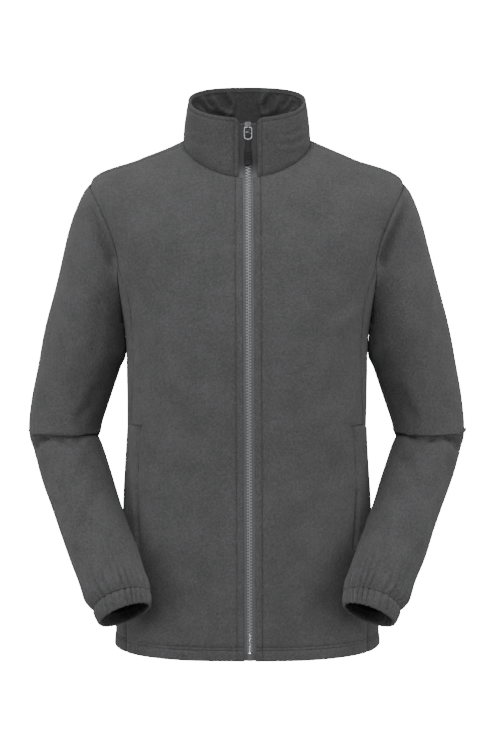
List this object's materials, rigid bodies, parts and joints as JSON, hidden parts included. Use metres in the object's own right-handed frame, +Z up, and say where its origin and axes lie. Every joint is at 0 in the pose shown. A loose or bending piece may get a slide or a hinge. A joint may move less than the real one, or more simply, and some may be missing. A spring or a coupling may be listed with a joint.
{
  "type": "fleece zip jacket",
  "caption": "Long-sleeved fleece jacket with a stand-up collar, full front zip, seam pockets and elastic cuffs, filled out as worn.",
  "frame": {"origin": "midway between the two points where the shoulder seams meet the neck seam, where the wearer's neck holds the jacket up", "axes": "+Z up along the wearer's height, the front faces -Y, +X towards the wearer's left arm"},
  "size_m": [0.6128, 0.2828, 0.7881],
  "materials": {
    "fleece": "napped, matt",
    "tape": "woven, matt",
    "bag_cloth": "matt",
    "teeth": "satin",
    "slider_metal": "polished, dark",
    "puller_plastic": "satin"
  },
  "bodies": {
    "jacket": {"front_left": "fleece", "front_right": "fleece", "back": "fleece", "side_left": "fleece", "side_right": "fleece", "sleeve_left": "fleece", "sleeve_right": "fleece", "cuff_left": "fleece", "cuff_right": "fleece", "collar": "fleece", "pocket_bag_left": "bag_cloth", "pocket_bag_right": "bag_cloth", "zip_tape_left": "tape", "zip_tape_right": "tape", "zip_chain_left": "teeth", "zip_chain_right": "teeth", "zip_box": "teeth", "zip_slider": "slider_metal"},
    "pull": {"pull_loop": "slider_metal", "puller": "puller_plastic"}
  },
  "joints": [
    {"name": "pull_swing", "type": "hinge", "parent": "jacket", "child": "pull", "pos_m": [0.0015, -0.07029, 0.01789], "axis": [-1, 0, 0], "range_deg": [0, 150]}
  ]
}
